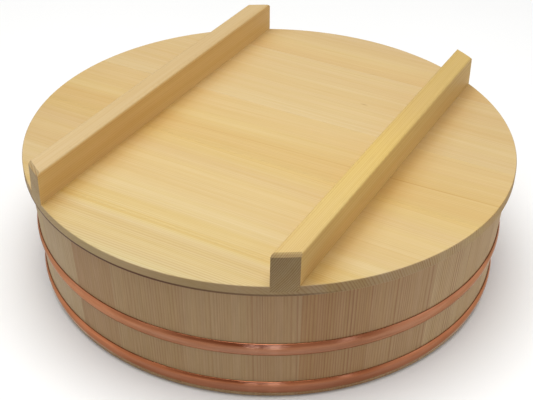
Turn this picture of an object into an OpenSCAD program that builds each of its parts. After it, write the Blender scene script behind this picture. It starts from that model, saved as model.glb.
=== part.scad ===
// Sushi rice tub with a lid: a coopered wall of tapered staves, two copper hoops, a bottom panel held
// in a groove, and a flat lid whose two battens stand on sliding dovetails.
// Millimetres. The origin is on the floor, under the middle of the tub. The lid's battens run along Y.

/* [Tub] */
// Outer diameter of the wall at its rim
rim_d = 480; // [380:1:560]
// Outer diameter of the wall at its foot
base_d = 466; // [370:1:550]
// Height of the staves
tub_h = 125.5; // [100:0.5:180]
// Thickness of the staves
wall_t = 15; // [11:0.5:20]
// Number of staves in the wall
stave_count = 26; // [16:1:36]
// How far a stave joint strays from even spacing, as a share of one stave
stray_share = 0.12; // [0:0.01:0.2]
// Bevel on the staves' edges at the rim and the foot
rim_bevel = 1.5; // [0.5:0.1:3]

/* [Bottom] */
// Gap between the bottom panel and the floor
foot_h = 10; // [6:0.5:16]
// Thickness of the bottom panel
bottom_t = 14; // [9:0.5:20]
// Depth of the groove in the staves that holds the bottom panel
croze_depth = 2.5; // [1.5:0.1:5]
// Bevel under the edge of the bottom panel, so that it drives into its groove
bottom_bevel = 2; // [0.5:0.1:4]
// Where the bottom boards meet, from the middle of the tub
bottom_seams = [-128, -41, 47, 132];

/* [Hoops] */
// Height of each copper hoop
hoop_h = 14.4; // [10:0.1:20]
// Thickness of a hoop at its edges
hoop_t = 0.8; // [0.5:0.1:2]
// How far a hoop's middle swells beyond its edges
hoop_swell = 1.8; // [0:0.1:3]
// Height of the middle of the upper hoop
upper_hoop_z = 60; // [45:0.1:80]
// Height of the middle of the lower hoop
lower_hoop_z = 12.8; // [8.5:0.1:16]

/* [Lid] */
// How far the lid reaches beyond the rim all round
lid_overhang = 5; // [1:0.5:15]
// Thickness of the lid boards
lid_t = 11; // [9:0.5:16]
// Radius of the lid's rounded edges
lid_round = 1.2; // [0.5:0.1:3]
// Where the lid boards meet, from the middle of the lid
lid_seams = [-185, -51, 46, 167];

/* [Battens] */
// Width of each batten
batten_w = 21.2; // [16:0.2:30]
// Height of the battens above the lid
batten_h = 32.4; // [20:0.2:45]
// Distance between the middles of the two battens
batten_spacing = 256.4; // [160:0.2:340]
// Bevel on the top of each batten end
batten_end_bevel = 3; // [1:0.5:8]
// How far each batten end leans in on its way up to the bevel
batten_end_lean = 0.4; // [0:0.1:3]
// Bevel along the long edges of a batten
batten_edge = 1.6; // [0.3:0.1:3]
// Depth of the sliding dovetail in the lid
dovetail_depth = 6; // [3:0.1:6]
// Width of the shoulder on each side of the dovetail
dovetail_shoulder = 1; // [0.5:0.1:4]
// How much wider the dovetail gets on each side towards its foot
dovetail_flare = 1; // [0.5:0.1:2.5]

/* [Pegs] */
// Diameter of the bamboo pegs
peg_d = 3; // [2:0.1:3.5]
// Length of the bamboo pegs
peg_l = 24; // [14:1:30]
// Height of the lower peg in each stave joint
stave_peg_low = 38; // [32:1:48]
// Distance from the rim down to the upper peg in each stave joint
stave_peg_drop = 26; // [12:1:34]
// Distance between neighbouring pegs in a board joint
board_peg_pitch = 85; // [40:1:95]

/* [Fits] */
// Clearance between pieces that are driven together
fit_gap = 0.04; // [0.01:0.01:0.1]
// Clearance between the hoops and the wall
hoop_gap = 0.1; // [0.02:0.01:0.2]
// Gap between the rim and the loose lid that rests on it
lid_gap = 0.2; // [0.1:0.05:0.4]

/* [Hidden] */
$fn = 120;
rim_r = rim_d / 2;
base_r = base_d / 2;
lid_r = rim_r + lid_overhang;
lid_bottom = tub_h + lid_gap;
lid_top = lid_bottom + lid_t;
stave_step = 360 / stave_count;
// The first joint lies where the photographed wall changes tone
first_joint_angle = -108.7;
// Turning by this much from joint to joint makes the uneven widths look unplanned
stray_turn_angle = 255;
croze_r = wall_x(foot_h + bottom_t) - wall_t + croze_depth;
bottom_r = croze_r - fit_gap;
peg_hole_d = peg_d + 2 * fit_gap;
peg_hole_l = peg_l + 2 * fit_gap;
stave_peg_heights = [stave_peg_low, tub_h - stave_peg_drop];
board_peg_places = [-board_peg_pitch, 0, board_peg_pitch];
// The lid pegs lie under the dovetails, so that the two never meet
lid_peg_z = lid_bottom + (lid_t - dovetail_depth) / 2;
bottom_peg_z = foot_h + bottom_t / 2;
hoop_arc_steps = 12;
round_steps = 4;
far = 2 * lid_r;

STAVES = [for (i = [1 : stave_count]) str("stave_", i < 10 ? "0" : "", i)];
BOTTOM_BOARDS = [for (i = [1 : len(bottom_seams) + 1]) str("bottom_board_", i)];
LID_BOARDS = [for (i = [1 : len(lid_seams) + 1]) str("lid_board_", i)];

// Outer radius of the tapered wall at height z
function wall_x(z) = base_r + (rim_r - base_r) * z / tub_h;

// Angle of the joint before stave i, counted from 0
function joint_angle(i) =
    first_joint_angle + stave_step * (i + stray_share * sin(stray_turn_angle * (i % stave_count)));

// Where board i of a panel starts and ends, given its seams and its radius
function board_start(seams, i, r) = i == 0 ? -r : seams[i - 1];
function board_end(seams, i, r) = i == len(seams) ? r : seams[i];

// Points of a quarter circle round a centre, from one angle to another
function arc(centre, r, from, to) =
    [for (k = [0 : round_steps]) centre + r * [cos(from + (to - from) * k / round_steps),
                                               sin(from + (to - from) * k / round_steps)]];

// Half section of the wall: tapered, bevelled at the rim and the foot, grooved for the bottom
module stave_section() {
    inner_foot = wall_x(0) - wall_t;
    inner_rim = wall_x(tub_h) - wall_t;
    polygon([
        [inner_foot + rim_bevel, 0],
        [wall_x(0) - rim_bevel, 0],
        [wall_x(rim_bevel), rim_bevel],
        [wall_x(tub_h - rim_bevel), tub_h - rim_bevel],
        [wall_x(tub_h) - rim_bevel, tub_h],
        [inner_rim + rim_bevel, tub_h],
        [wall_x(tub_h - rim_bevel) - wall_t, tub_h - rim_bevel],
        [wall_x(foot_h + bottom_t) - wall_t, foot_h + bottom_t],
        [croze_r, foot_h + bottom_t],
        [croze_r, foot_h],
        [wall_x(foot_h) - wall_t, foot_h],
        [wall_x(rim_bevel) - wall_t, rim_bevel]
    ]);
}

// Pegs across one stave joint, in the middle of the wall, square to the joint's face
module stave_joint_pegs(i, d, l) {
    for (z = stave_peg_heights)
        rotate([0, 0, joint_angle(i)])
            translate([wall_x(z) - wall_t / 2, 0, z])
                rotate([90, 0, 0])
                    cylinder(d = d, h = l, center = true);
}

// One stave: a slice of the wall with radial faces, bored for the pegs on both sides
module stave(i) {
    color(i % 2 == 0 ? "#c6a780" : "#bb9a75")
        difference() {
            rotate([0, 0, joint_angle(i)])
                rotate_extrude(angle = joint_angle(i + 1) - joint_angle(i))
                    stave_section();
            stave_joint_pegs(i, peg_hole_d, peg_hole_l);
            stave_joint_pegs(i + 1, peg_hole_d, peg_hole_l);
        }
}

// Bamboo pegs in the stave joints
module stave_pegs() {
    color("#d9c48c")
        for (i = [0 : stave_count - 1])
            stave_joint_pegs(i, peg_d, peg_l);
}

// Copper hoop: its inside lies on the tapered wall, its outside swells in an even curve
module hoop(z_middle) {
    z_low = z_middle - hoop_h / 2;
    color("#b8734a")
        rotate_extrude()
            polygon(concat(
                [[wall_x(z_low) + hoop_gap, z_low]],
                [for (k = [0 : hoop_arc_steps])
                    let (t = 2 * k / hoop_arc_steps - 1, z = z_middle + t * hoop_h / 2)
                    [wall_x(z) + hoop_gap + hoop_t + hoop_swell * (1 - t * t), z]],
                [[wall_x(z_low + hoop_h) + hoop_gap, z_low + hoop_h]]
            ));
}

// Round bottom panel, whole, bevelled under its edge
module bottom_panel() {
    translate([0, 0, foot_h])
        rotate_extrude()
            polygon([
                [0, 0],
                [bottom_r - bottom_bevel, 0],
                [bottom_r, bottom_bevel],
                [bottom_r, bottom_t],
                [0, bottom_t]
            ]);
}

// Slab that cuts board i out of a panel, across all of X
module board_cut(seams, i, r) {
    start = board_start(seams, i, r);
    translate([-far, start, 0])
        cube([2 * far, board_end(seams, i, r) - start, lid_top + batten_h]);
}

// Pegs across one board seam, at height z
module seam_pegs(y, z, d, l) {
    for (x = board_peg_places)
        translate([x, y, z])
            rotate([90, 0, 0])
                cylinder(d = d, h = l, center = true);
}

// One board of the bottom
module bottom_board(i) {
    color(i % 2 == 0 ? "#dcc393" : "#d3b887")
        difference() {
            intersection() {
                bottom_panel();
                board_cut(bottom_seams, i, bottom_r);
            }
            for (y = bottom_seams)
                seam_pegs(y, bottom_peg_z, peg_hole_d, peg_hole_l);
        }
}

// Bamboo pegs between the bottom boards
module bottom_pegs() {
    color("#d9c48c")
        for (y = bottom_seams)
            seam_pegs(y, bottom_peg_z, peg_d, peg_l);
}

// Round lid panel, whole, with both edges rounded over
module lid_panel() {
    translate([0, 0, lid_bottom])
        rotate_extrude()
            polygon(concat(
                [[0, 0]],
                arc([lid_r - lid_round, lid_round], lid_round, -90, 0),
                arc([lid_r - lid_round, lid_t - lid_round], lid_round, 0, 90),
                [[0, lid_t]]
            ));
}

// Section of the dovetail under a batten, with a clearance all round, y = 0 at the lid's top
module dovetail_section(gap) {
    neck = batten_w / 2 - dovetail_shoulder + gap;
    foot = neck + dovetail_flare;
    polygon([
        [-neck, 0],
        [-foot, -dovetail_depth - gap],
        [foot, -dovetail_depth - gap],
        [neck, 0]
    ]);
}

// Runs a section along Y at one batten's place
module along_batten(side) {
    translate([side * batten_spacing / 2, 0, lid_top])
        rotate([90, 0, 0])
            linear_extrude(far, center = true)
                children();
}

// One board of the lid, grooved for both dovetails
module lid_board(i) {
    color(i % 2 == 0 ? "#ead09a" : "#e3c68c")
        difference() {
            intersection() {
                lid_panel();
                board_cut(lid_seams, i, lid_r);
            }
            for (side = [-1, 1])
                along_batten(side)
                    dovetail_section(fit_gap);
            for (y = lid_seams)
                seam_pegs(y, lid_peg_z, peg_hole_d, peg_hole_l);
        }
}

// Bamboo pegs between the lid boards
module lid_pegs() {
    color("#d9c48c")
        for (y = lid_seams)
            seam_pegs(y, lid_peg_z, peg_d, peg_l);
}

// Body of a batten in section, with bevelled long edges, y = 0 at the lid's top
module batten_section() {
    half = batten_w / 2;
    polygon([
        [-half, 0],
        [half, 0],
        [half, batten_h - batten_edge],
        [half - batten_edge, batten_h],
        [-half + batten_edge, batten_h],
        [-half, batten_h - batten_edge]
    ]);
}

// Round outline that both batten ends are cut to: as wide as the lid, leaning in, bevelled at the top
module batten_outline() {
    end_r = lid_r - batten_end_lean;
    translate([0, 0, lid_top])
        rotate_extrude()
            polygon([
                [0, -dovetail_depth],
                [lid_r, -dovetail_depth],
                [lid_r, 0],
                [end_r, batten_h - batten_end_bevel],
                [end_r - batten_end_bevel, batten_h],
                [0, batten_h]
            ]);
}

// Batten across the lid, standing on its dovetail, its ends flush with the lid's edge
module batten(side) {
    color("#d8bd82")
        intersection() {
            along_batten(side)
                union() {
                    batten_section();
                    dovetail_section(0);
                }
            batten_outline();
        }
}

for (i = [0 : stave_count - 1])
    stave(i);
stave_pegs();
hoop(upper_hoop_z);  // hoop_upper
hoop(lower_hoop_z);  // hoop_lower
for (i = [0 : len(bottom_seams)])
    bottom_board(i);
bottom_pegs();
for (i = [0 : len(lid_seams)])
    lid_board(i);
lid_pegs();
batten(-1);  // batten_left
batten(1);  // batten_right
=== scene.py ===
# %% [markdown]
# # A sushi rice tub and its lid
#
# The tub is a ring of upright staves held by two copper hoops, with a bottom let into a groove. Its lid
# is a round panel of five boards with two tall battens across it. This lesson dresses the CAD model:
# each board and stave becomes a mesh of its own, and the wood's year rings run through it as they did
# through the log.

# %% [markdown]
# ## The frame
#
# The CAD model says where everything is. It is loaded first and never moved, and its pieces' boxes give
# the sizes below.

import math

import bmesh
import bpy
import numpy as np
from mathutils import Matrix, Vector


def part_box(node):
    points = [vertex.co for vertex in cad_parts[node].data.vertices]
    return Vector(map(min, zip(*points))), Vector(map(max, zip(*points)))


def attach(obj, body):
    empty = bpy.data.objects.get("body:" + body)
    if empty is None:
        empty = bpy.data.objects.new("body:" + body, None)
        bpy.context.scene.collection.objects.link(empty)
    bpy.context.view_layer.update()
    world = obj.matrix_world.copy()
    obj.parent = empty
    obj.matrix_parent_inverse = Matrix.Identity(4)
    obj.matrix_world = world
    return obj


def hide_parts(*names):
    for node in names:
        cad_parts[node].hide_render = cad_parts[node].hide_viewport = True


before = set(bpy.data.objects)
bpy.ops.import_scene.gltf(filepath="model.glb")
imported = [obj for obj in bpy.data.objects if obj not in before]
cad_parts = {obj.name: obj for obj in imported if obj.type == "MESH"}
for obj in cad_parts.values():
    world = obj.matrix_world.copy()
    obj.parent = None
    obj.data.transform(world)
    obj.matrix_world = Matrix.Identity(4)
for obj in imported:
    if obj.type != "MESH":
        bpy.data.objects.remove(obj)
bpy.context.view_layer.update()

# %% [markdown]
# ## The maker's sizes
#
# A cooper works from a few sizes. What a piece's box shows is read off the CAD model: heights, seams
# and the battens' places. What a box can't show is given here: the wall's radius at the rim and at the
# foot, its thickness, the groove for the bottom, the roundings. The wall leans outwards, so its radius
# is a straight-line function of the height. All lengths are in metres.

# %% Sizes of the tub and its bottom
MM = 0.001


def span(node, axis):
    """Lowest and highest x, y or z of a CAD piece, to the micrometre."""
    return [round(corner["xyz".index(axis)], 6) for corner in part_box(node)]


def seams_of(panel):
    """The lines of y where the five boards of a panel meet."""
    return np.array([span("%s_board_%d" % (panel, number), "y")[1] for number in range(1, 5)])


rim_r = 240 * MM
base_r = 233 * MM
wall_t = 15 * MM
rim_bevel = 1.5 * MM
croze_depth = 2.5 * MM
# clearance between pieces that are driven together, and how far the edges along a joint are eased
fit = 0.04 * MM
arris = 0.06 * MM
tub_h = span("stave_01", "z")[1]
foot_h, bottom_top = span("bottom_board_3", "z")
bottom_seams = seams_of("bottom")


def wall_r(z):
    """Outer radius of the wall: from the foot's radius to the rim's, in proportion to the height."""
    return base_r + (rim_r - base_r) * z / tub_h


croze_r = wall_r(bottom_top) - wall_t + croze_depth
print("croze radius", round(croze_r, 5), "bottom seams", bottom_seams)

# %% Sizes of the hoops, the lid and the battens
hoop_t = 0.8 * MM
hoop_swell = 1.8 * MM
hoop_gap = 0.1 * MM
hoop_heights = {name: sum(span(name, "z")) / 2 for name in ("hoop_upper", "hoop_lower")}
hoop_h = 2 * (span("hoop_upper", "z")[1] - hoop_heights["hoop_upper"])

# the lid is a hair smaller than the CAD one, so that no rounding reaches past its box
lid_r = -span("lid_board_1", "y")[0] - 0.02 * MM
lid_round = 1.2 * MM
lid_bottom, lid_top = span("lid_board_3", "z")
lid_seams = seams_of("lid")

batten_x = sum(span("batten_right", "x")) / 2
batten_w = 2 * (span("batten_right", "x")[1] - batten_x)
batten_foot, batten_top = span("batten_right", "z")
batten_h = batten_top - lid_top
tail_depth = lid_top - batten_foot
tail_neck = 9.6 * MM
tail_foot = 10.6 * MM
end_bevel = 3 * MM
end_lean = 0.4 * MM
print("hoops at", hoop_heights, "lid", lid_bottom, lid_top, "battens", batten_w, batten_h, batten_x)

# %% [markdown]
# ## The camera
#
# The photograph looks down on the tub at about 34 degrees, from the side of the right batten's end.
# Blender's camera looks along its own -Z, so its matrix has the picture's right, its up and the way
# back as its columns.

# %% Camera at the photograph's angle
cam_yaw = 0.4960
cam_pitch = 0.6011
cam_roll = 0.0134
cam_place = np.array([0.4225, -0.7856, 0.6657])
ahead = np.array([-math.sin(cam_yaw) * math.cos(cam_pitch),
                  math.cos(cam_yaw) * math.cos(cam_pitch), -math.sin(cam_pitch)])
level = np.array([math.cos(cam_yaw), math.sin(cam_yaw), 0])
upright = np.cross(level, ahead)
right = math.cos(cam_roll) * level + math.sin(cam_roll) * upright
above = math.cos(cam_roll) * upright - math.sin(cam_roll) * level


def show(name, data):
    """An object for a mesh, a camera or a light, in the scene."""
    made = bpy.data.objects.new(name, data)
    bpy.context.scene.collection.objects.link(made)
    return made


camera = show("camera", bpy.data.cameras.new("camera"))
camera.data.lens = 69.29
camera.data.sensor_width = 36
camera.data.clip_start = 0.05
camera.data.clip_end = 20
facing_away = Matrix(np.stack([right, above, -ahead], 1).tolist())
camera.matrix_world = Matrix.Translation(cam_place.tolist()) @ facing_away.to_4x4()
bpy.context.scene.camera = camera
print("camera at", cam_place, "looks along", ahead.round(3))

# %% [markdown]
# ## One way to make every wooden piece
#
# A stave, a board and a batten have one thing in common: a section is carried along a path. Here a
# section is a grid of points, `stations[j]` is that grid at step j of the path, and the skin joins the
# rim of each grid to the next. The first and the last grid close the two ends, so the mesh is
# watertight, and it is all index arithmetic on whole arrays.

# %% Carry a section along a path
def rim_of_grid(rows, columns):
    """Row and column numbers of a grid's border, once round: along the first row, up the last column,
    back along the last row and down the first column."""
    along = np.arange(columns - 1)
    up = np.arange(rows - 1)
    row = np.concatenate([0 * along, up, 0 * along + rows - 1, up[::-1] + 1])
    column = np.concatenate([along, 0 * up + columns - 1, along[::-1] + 1, 0 * up])
    return row, column


def faces_of_grid(number):
    """Four-sided faces between the neighbours of a grid of vertex numbers."""
    return np.stack([number[:-1, :-1], number[1:, :-1], number[1:, 1:], number[:-1, 1:]], -1).reshape(-1, 4)


def smooth_and_crisp(mesh, sharp=30):
    """Smooth shading, with edges sharper than the given degrees kept crisp."""
    mesh.shade_smooth()
    mesh.set_sharp_from_angle(angle=math.radians(sharp))


def settle(name, points, faces, sharp=30):
    """A mesh object from points and faces, with doubles merged and faces turned outwards."""
    mesh = bpy.data.meshes.new(name)
    mesh.from_pydata(np.asarray(points).reshape(-1, 3).tolist(), [], np.asarray(faces).tolist())
    work = bmesh.new()
    work.from_mesh(mesh)
    bmesh.ops.remove_doubles(work, verts=work.verts, dist=0.001 * MM)
    bmesh.ops.recalc_face_normals(work, faces=work.faces)
    work.to_mesh(mesh)
    work.free()
    smooth_and_crisp(mesh, sharp)
    return show(name, mesh)


def carry(name, stations):
    """A closed solid. The border of each section grid is joined to the next one's, and the first and
    last grids are the ends."""
    steps, rows, columns, _ = stations.shape
    row, column = rim_of_grid(rows, columns)
    around = len(row)
    skin = stations[:, row, column].reshape(-1, 3)
    inside = stations[[0, -1], 1:-1, 1:-1].reshape(-1, 3)
    ring = np.arange(steps * around).reshape(steps, around)
    faces = [faces_of_grid(np.concatenate([ring, ring[:, :1]], 1))]
    within = np.arange(len(skin), len(skin) + len(inside)).reshape(2, rows - 2, columns - 2)
    for end in (0, -1):
        number = np.empty((rows, columns), int)
        number[row, column] = ring[end]
        number[1:-1, 1:-1] = within[end]
        faces.append(faces_of_grid(number))
    return settle(name, np.concatenate([skin, inside]), np.concatenate(faces))


# %% [markdown]
# ## Bores and grooves
#
# Pegs cross every joint, and the battens' dovetails are let into the lid. Such cuts are made as in the
# workshop, by taking one solid out of another with a Boolean modifier, which is then applied. A peg's
# tool is a disc carried along a line: a square grid is pressed into a disc by x' = x sqrt(1 - y^2/2)
# and y' = y sqrt(1 - x^2/2).

# %% Cutting tools
peg_r = 1.5 * MM
peg_l = 24 * MM


def peg_bore(centre, direction):
    """The tool for a peg's bore along a level direction: the disc grid, which stands across the line,
    carried from one of its ends to the other."""
    x, y = np.meshgrid(np.linspace(-1, 1, 7), np.linspace(-1, 1, 7))
    disc = np.stack([x * np.sqrt(1 - y * y / 2), y * np.sqrt(1 - x * x / 2)], -1) * (peg_r + fit)
    ends = np.array([-0.5, 0.5])[:, None, None, None] * (peg_l + 2 * fit)
    across = np.stack([np.cross(direction, [0, 0, 1]), [0, 0, 1]])
    return carry("tool", centre + disc @ across + ends * direction)


def places(piece):
    """All vertex positions of a piece, as an array of rows."""
    co = np.empty(len(piece.data.vertices) * 3)
    piece.data.vertices.foreach_get("co", co)
    return co.reshape(-1, 3)


def cut_out(piece, tools):
    """Takes the tools, joined into one mesh, out of the piece and throws them away."""
    points = []
    faces = []
    count = 0
    for tool in tools:
        points.append(places(tool))
        faces += [[v + count for v in face.vertices] for face in tool.data.polygons]
        count += len(tool.data.vertices)
    joined = bpy.data.meshes.new("tools")
    joined.from_pydata(np.concatenate(points).tolist(), [], faces)
    cutter = show("tools", joined)
    modifier = piece.modifiers.new("cut", "BOOLEAN")
    modifier.operation = "DIFFERENCE"
    modifier.solver = "EXACT"
    modifier.object = cutter
    bpy.context.view_layer.update()
    done = bpy.data.meshes.new_from_object(piece.evaluated_get(bpy.context.evaluated_depsgraph_get()))
    piece.modifiers.clear()
    piece.data = done
    smooth_and_crisp(done)
    for tool in [cutter, *tools]:
        bpy.data.objects.remove(tool)


# %% [markdown]
# ## Where each piece lay in the log
#
# Wood is not painted on: year rings are shells round the log's heart, and a face shows lines, flames or
# arcs by how the saw cut through them. So each vertex gets the place it had in its log, in metres: how
# far along the trunk, and the two distances from the heart. The material later draws rings in that
# space, and they meet at every edge of a board by themselves. No two boards have the same colour, so a
# second attribute holds each vertex's own shade, mixed from three dyes, and a third says how strongly
# its rings show.
# On the lid, the battens and the staves in front, that shade also holds painted light and shade.

# %% Mark the grain on a mesh
# each piece is sawn this much further along its trunk than the last, so that no two are alike
trunk_step = 1.7
# what a full measure of straw yellow, umber and rose leaves of the wood's red, green and blue
dyes = np.array([[1, 1, 0.8], [0.8, 0.75, 0.7], [1, 0.9, 0.95]])


def store(piece, name, *columns):
    """Stores one column of numbers as a float attribute on the vertices, or three as a vector."""
    kind, field = ("FLOAT", "value") if len(columns) == 1 else ("FLOAT_VECTOR", "vector")
    attribute = piece.data.attributes.new(name, kind, "POINT")
    values = np.stack(np.broadcast_arrays(*columns, np.zeros(len(attribute.data)))[:-1], -1)
    attribute.data.foreach_set(field, values.astype(np.float32).ravel())


def lay_in_log(piece, along, across, through, heart, tilt, order):
    """Place in the log: along the trunk, and across and through the piece, turned by the tilt in
    degrees and moved off the heart."""
    cos, sin = math.cos(math.radians(tilt)), math.sin(math.radians(tilt))
    store(piece, "log", along + trunk_step * order, heart + cos * across + sin * through,
          cos * through - sin * across)


def read_off(where, rows):
    """Values at each place, read off rows of (place, values...) by straight interpolation."""
    rows = np.array(rows, float)
    return np.stack([np.interp(where, rows[:, 0], column) for column in rows[:, 1:].T], -1)


def tint(piece, measures):
    """Shade and ring strength from measures of straw, umber, rose and rings, one row for each vertex
    or one for all. The shade is the product of the dyes, each raised to its measure; less than none
    of a dye lightens."""
    measures = np.broadcast_to(measures, (len(piece.data.vertices), 4))
    store(piece, "shade", *np.exp(measures[:, :3] @ np.log(dyes)).T)
    store(piece, "ring_strength", measures[:, 3])


# %% [markdown]
# ## The staves
#
# Each stave is a slice of the wall: its section has the lean of the wall, a bevel at the rim and foot
# and the croze, the groove that grips the bottom. It is carried round the tub's axis from one radial
# joint to the next. The joints are planed so true that only the change of tone betrays them, so the
# edges along them are eased by less than a tenth of a millimetre.

# %% Section of the wall
stave_count = 26
stave_step = 2 * math.pi / stave_count
# the joints stray from even spacing by a share of a stave, in a wave that doesn't repeat round the tub
first_joint = -108.7
stray_share = 0.12
stray_turn = 255
order = np.arange(stave_count + 1)
stray = stray_share * np.sin(np.radians(stray_turn * (order % stave_count)))
joints = np.radians(first_joint) + stave_step * (order + stray)

inner_z = np.array([0, rim_bevel, foot_h, foot_h, bottom_top, bottom_top, tub_h - rim_bevel, tub_h])
inner_knots = np.stack([wall_r(inner_z) - wall_t, inner_z], 1)
inner_knots[[0, -1], 0] += rim_bevel
inner_knots[3:5, 0] = croze_r
# the outer line's knots lie level with the inner one's, a little apart round the bottom
outer_z = np.array([0, rim_bevel, 8 * MM, 12 * MM, 22 * MM, 26 * MM, tub_h - rim_bevel, tub_h])
outer_knots = np.stack([wall_r(outer_z), outer_z], 1)
outer_knots[[0, -1], 0] -= rim_bevel
knot_steps = [2, 2, 1, 3, 1, 8, 2]


def through_knots(knots):
    """Points on straight lines from knot to knot, each line cut into its own number of equal steps."""
    at = np.concatenate([k + np.arange(n) / n for k, n in enumerate(knot_steps)] + [[len(knot_steps)]])
    return np.stack([np.interp(at, np.arange(len(knots)), knots[:, i]) for i in (0, 1)], -1)


across_wall = np.linspace(0, 1, 5)[None, :, None]
wall_section = (through_knots(inner_knots)[:, None] * (1 - across_wall)
                + through_knots(outer_knots)[:, None] * across_wall)
print("wall section", wall_section.shape)


# %% Make the staves
def drawn_in(section, by):
    """The section made smaller: its inner and outer lines and its two ends move in by a length."""
    drawn = section.copy()
    drawn[..., 0] -= by * np.linspace(-1, 1, section.shape[1])
    drawn[0, :, 1] += by
    drawn[-1, :, 1] -= by
    return drawn


def stave_mesh(name, start, end):
    """The wall section turned about Z from one joint to the next; the first and last stations are
    drawn in by the arris."""
    lean = arris / rim_r
    turn = np.concatenate([[start], np.linspace(start + lean, end - lean, 13), [end]])
    section = np.repeat(wall_section[None], len(turn), 0)
    section[0] = section[-1] = drawn_in(wall_section, arris)
    turn = turn[:, None, None]
    radius = section[..., 0]
    return carry(name, np.stack([radius * np.cos(turn), radius * np.sin(turn), section[..., 1]], -1))


stave_peg_heights = (38 * MM, tub_h - 26 * MM)


def stave_bores(angle):
    """Bores for the pegs across the joint at an angle, in the middle of the wall."""
    outward = np.array([math.cos(angle), math.sin(angle), 0])
    sideways = np.array([-math.sin(angle), math.cos(angle), 0])
    return [peg_bore((wall_r(z) - wall_t / 2) * outward + [0, 0, z], sideways) for z in stave_peg_heights]


chance = np.random.default_rng(26)
# straw, umber, rose and ring strength, tilt in degrees and distance from the heart: least and most
unseen_staves = ([0.1, -0.3, -0.3, 0.4, -22, 0.13], [0.7, 0.4, 0.5, 0.8, 22, 0.30])
# straw, umber, rose and ring strength of the staves the photograph shows, by their number: their own tone,
# with painted shade that makes the front staves darker and those to either side lighter
seen_staves = {25: (0.48, -0.41, -0.52, 0.4), 26: (-0.11, -0.07, -0.64, 0.4), 1: (0.53, 0.56, 0.37, 0.4),
               2: (0.26, 0.34, -0.15, 0.5), 3: (0.1, 0.28, -0.12, 0.43), 4: (0.07, 0.24, 0, 0.52),
               5: (0.8, 0.5, 0.8, 0.72), 6: (0.45, 0.12, 0.42, 0.7), 7: (0.4, -0.55, -0.12, 1.05),
               8: (0.92, -0.31, 0.27, 0.55), 9: (1.02, -0.73, 0.41, 0.5)}
# one stave was sawn nearer the heart, so that its widest rings lie towards its right side
nearer_heart = {5: 35 * MM}
staves = []
for number in range(1, stave_count + 1):
    start, end = joints[number - 1:number + 1]
    piece = stave_mesh("stave_%02d_wood" % number, start, end)
    cut_out(piece, stave_bores(start) + stave_bores(end))
    *measures, tilt, heart = chance.uniform(*unseen_staves)
    x, y, z = places(piece).T
    radius = np.hypot(x, y)
    turned = (np.arctan2(y, x) - (start + end) / 2 + math.pi) % (2 * math.pi) - math.pi
    lay_in_log(piece, z, radius * turned, radius - (base_r - wall_t / 2),
               heart - nearer_heart.get(number, 0), tilt, number)
    tint(piece, seen_staves.get(number, measures))
    staves.append(piece)
print("staves", len(staves), "faces each", len(staves[0].data.polygons))

# %% [markdown]
# ## The hoops
#
# The hoops are copper strip with a swelled outer face, driven on from the narrow foot end. A closed
# profile is turned about the tub's axis: radius = wall + gap + edge thickness + swell (1 - t^2), with t
# from -1 to 1 across the strip. The last of the strip on either side is rounded over, by a quarter
# circle. Strip that has been hammered on is never quite true, so the swell wanders by a tenth or two of
# a millimetre round the tub. Painted light and shade run across each strip: the upper hoop is lighter
# and bluer towards its lower edge, and the lower hoop is darker than the upper one, most at its lower
# edge and at the front left.

# %% Make the hoops
# the strip is a little narrower and flatter than its space, which leaves room for the dents
strip_half = 0.97 * hoop_h / 2
strip_swell = hoop_swell - 0.2 * MM
dent = 0.12 * MM
round_from = 0.93
round_drop = 0.45 * MM


def wander(angle, waves, amount, seed):
    """A smooth closed wave round the tub: a sum of sines of whole numbers of turns."""
    turns = np.arange(2, 2 + waves)
    phase = np.random.default_rng(seed).uniform(0, 2 * math.pi, waves)
    return (amount * np.sin(turns * angle[..., None] + phase)).sum(-1)


def hoop_mesh(name, middle, seed):
    """The strip's closed profile turned about Z. The inner line lies on the wall."""
    angle = np.linspace(0, 2 * math.pi, 420, endpoint=False)[:, None]
    corner = np.array([1, 0.997, 0.99, 0.975, 0.955])
    t = np.concatenate([-corner, np.linspace(-round_from, round_from, 23), corner[::-1]])[None]
    dents = dent * (1 + wander(angle, 9, 0.3, seed)) * (1 - t * t)
    z = middle + t * strip_half
    over = np.clip((np.abs(t) - round_from) / (1 - round_from), 0, 1)
    edge = hoop_t - round_drop * (1 - np.sqrt(1 - over ** 2))
    outside = wall_r(z) + hoop_gap + edge + strip_swell * (1 - t * t) + dents
    inside = np.broadcast_to(wall_r(z[:, ::-1]) + hoop_gap, outside.shape)
    radius = np.concatenate([outside, inside], 1)
    height = np.broadcast_to(np.concatenate([z, z[:, ::-1]], 1), radius.shape)
    points = np.stack([radius * np.cos(angle), radius * np.sin(angle), height], -1)
    number = np.pad(np.arange(radius.size).reshape(radius.shape), (0, 1), "wrap")
    return settle(name, points, faces_of_grid(number), sharp=50)


# painted light and shade on the copper's red, green and blue, from the strip's lower edge, t = -1, to its
# upper one, t = 1
hoop_painted_light = {
    "hoop_upper": [(-1, 1.15, 1.24, 1.32), (-0.7, 1.1, 1.17, 1.25), (-0.3, 1.02, 1.03, 1.08),
                   (0, 1.02, 1.02, 1.03), (0.4, 1.02, 1, 0.98), (0.97, 1, 0.92, 0.86),
                   (0.99, 0.85, 0.7, 0.6)],
    "hoop_lower": [(-1, 0.57, 0.49, 0.49), (-0.7, 0.64, 0.56, 0.56), (-0.3, 0.8, 0.68, 0.69),
                   (0, 0.87, 0.76, 0.73), (0.4, 0.9, 0.79, 0.76), (0.6, 1.03, 0.88, 0.77),
                   (0.97, 1, 0.85, 0.74), (0.99, 0.85, 0.68, 0.56)]}
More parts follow.
